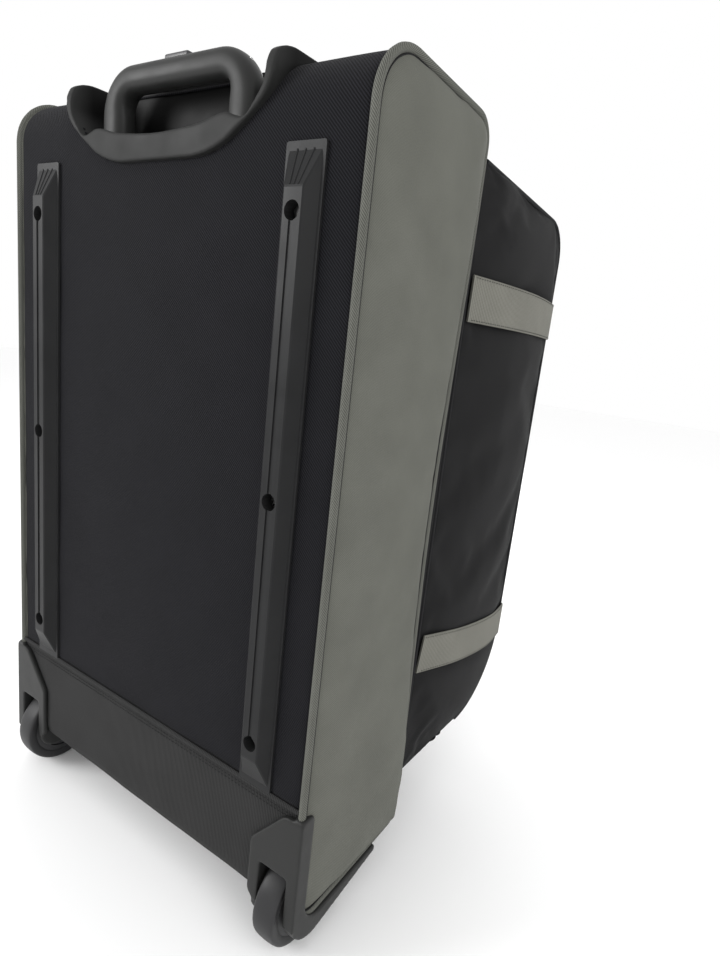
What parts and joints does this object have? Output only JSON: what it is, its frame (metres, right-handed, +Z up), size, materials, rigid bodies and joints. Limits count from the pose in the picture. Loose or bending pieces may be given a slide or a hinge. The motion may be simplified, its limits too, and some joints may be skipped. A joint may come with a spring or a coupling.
{
  "type": "wheeled ball bag",
  "caption": "Upright two-wheeled bag for bowling balls with a telescopic handle, skid rails, a rigid-backed base and a soft main compartment that unzips and opens on a side hinge.",
  "frame": {"origin": "on the ground below the middle of the bag's box", "axes": "+Z up; +Y out of the back panel with the rails and wheels; +X to the right when looking from the front (-Y) side"},
  "size_m": [0.4136, 0.4189, 0.7155],
  "materials": {
    "black_twill": "matt coarse twill",
    "ribbed_fabric": "matt ribbed weave",
    "grey_fabric": "matt fine weave",
    "black_fabric": "matt fine weave",
    "webbing": "woven webbing",
    "lining": "smooth lining",
    "foam": "closed-cell foam under cloth",
    "grey_plastic": "fine moulded texture",
    "black_plastic": "satin moulded",
    "board_plastic": "smooth sheet",
    "tyre_urethane": "satin urethane",
    "steel": "satin",
    "aluminium": "satin anodised"
  },
  "bodies": {
    "base": {"back_panel": "black_twill", "kick_panel": "ribbed_fabric", "side_panel_left": "grey_fabric", "side_panel_right": "grey_fabric", "back_board": "board_plastic", "bottom_board": "board_plastic", "handle_cup": "grey_plastic", "outer_tube_left": "aluminium", "outer_tube_right": "aluminium", "tube_bracket": "black_plastic", "rail_left": "grey_plastic", "rail_right": "grey_plastic", "rail_rivet_1": "steel", "rail_rivet_2": "steel", "rail_rivet_3": "steel", "rail_rivet_4": "steel", "rail_rivet_5": "steel", "rail_rivet_6": "steel", "guard_left": "grey_plastic", "guard_right": "grey_plastic", "axle_left": "steel", "axle_right": "steel", "foot_left": "black_plastic", "foot_right": "black_plastic", "zip_tape_rear": "black_fabric"},
    "handle_stage_1": {"middle_tube_left": "aluminium", "middle_tube_right": "aluminium"},
    "handle_stage_2": {"inner_tube_left": "aluminium", "inner_tube_right": "aluminium", "grip": "grey_plastic"},
    "button": {"release_button": "black_plastic", "release_yoke": "steel"},
    "wheel_left": {"tyre_left": "tyre_urethane", "wheel_hub_left": "black_plastic", "bearing_inner_left": "steel", "bearing_outer_left": "steel"},
    "wheel_right": {"tyre_right": "tyre_urethane", "wheel_hub_right": "black_plastic", "bearing_inner_right": "steel", "bearing_outer_right": "steel"},
    "main_compartment": {"divider_panel": "lining", "main_side_left": "black_fabric", "main_side_right": "black_fabric", "main_top": "black_fabric", "main_bottom": "black_fabric", "main_front": "black_fabric", "strap_upper_left": "webbing", "strap_upper_right": "webbing", "strap_lower_left": "webbing", "strap_lower_right": "webbing", "ball_cradle": "foam"},
    "flap": {"front_flap": "black_fabric"},
    "carry_handle_left": {"carry_handle_left": "webbing"},
    "carry_handle_right": {"carry_handle_right": "webbing"},
    "flap_slider_upper": {"flap_slider_upper": "steel"},
    "flap_slider_lower": {"flap_slider_lower": "steel"},
    "flap_pull_upper": {"flap_pull_upper": "steel"},
    "flap_pull_lower": {"flap_pull_lower": "steel"},
    "base_slider": {"base_slider": "steel"},
    "base_pull": {"base_pull": "steel"}
  },
  "joints": [
    {"name": "wheel_spin_left", "type": "hinge", "parent": "base", "child": "wheel_left", "pos_m": [-0.1805, 0.166, 0.042], "axis": [1, 0, 0], "continuous": true},
    {"name": "wheel_spin_right", "type": "hinge", "parent": "base", "child": "wheel_right", "pos_m": [0.1805, 0.166, 0.042], "axis": [1, 0, 0], "continuous": true},
    {"name": "handle_stage_1_slide", "type": "slide", "parent": "base", "child": "handle_stage_1", "axis": [0, 0, 1], "range_m": [0, 0.19]},
    {"name": "handle_stage_2_slide", "type": "slide", "parent": "handle_stage_1", "child": "handle_stage_2", "axis": [0, 0, 1], "range_m": [0, 0.2]},
    {"name": "button_press", "type": "slide", "parent": "handle_stage_2", "child": "button", "axis": [0, 0, -1], "range_m": [0, 0.003], "stiffness_N_per_m": 400, "springref_m": -0.002},
    {"name": "compartment_hinge", "type": "hinge", "parent": "base", "child": "main_compartment", "pos_m": [0.2005, 0.0263, 0.38], "axis": [0, 0, 1], "range_deg": [0, 95]},
    {"name": "flap_hinge", "type": "hinge", "parent": "main_compartment", "child": "flap", "pos_m": [0.11125, -0.2045, 0.3975], "axis": [0, 0, 1], "range_deg": [0, 110]},
    {"name": "carry_handle_left_lift", "type": "hinge", "parent": "main_compartment", "child": "carry_handle_left", "pos_m": [-0.186, -0.2073, 0.37], "axis": [0, 0, -1], "range_deg": [0, 100]},
    {"name": "carry_handle_right_lift", "type": "hinge", "parent": "main_compartment", "child": "carry_handle_right", "pos_m": [0.186, -0.2073, 0.37], "axis": [0, 0, 1], "range_deg": [0, 100]},
    {"name": "flap_slider_upper_run", "type": "slide", "parent": "main_compartment", "child": "flap_slider_upper", "axis": [0, 0, 1], "range_m": [0, 0.12]},
    {"name": "flap_pull_upper_swing", "type": "hinge", "parent": "flap_slider_upper", "child": "flap_pull_upper", "pos_m": [-0.119, -0.21, 0.442], "axis": [-1, 0, 0], "range_deg": [0, 150]},
    {"name": "flap_slider_lower_run", "type": "slide", "parent": "main_compartment", "child": "flap_slider_lower", "axis": [0, 0, -1], "range_m": [0, 0.15]},
    {"name": "flap_pull_lower_swing", "type": "hinge", "parent": "flap_slider_lower", "child": "flap_pull_lower", "pos_m": [-0.119, -0.21, 0.387], "axis": [-1, 0, 0], "range_deg": [0, 150]},
    {"name": "base_slider_run", "type": "slide", "parent": "base", "child": "base_slider", "axis": [-1, 0, 0], "range_m": [0, 0.33]},
    {"name": "base_pull_swing", "type": "hinge", "parent": "base_slider", "child": "base_pull", "pos_m": [0.165, 0.0311, 0.04], "axis": [0, 1, 0], "range_deg": [-80, 80]}
  ]
}
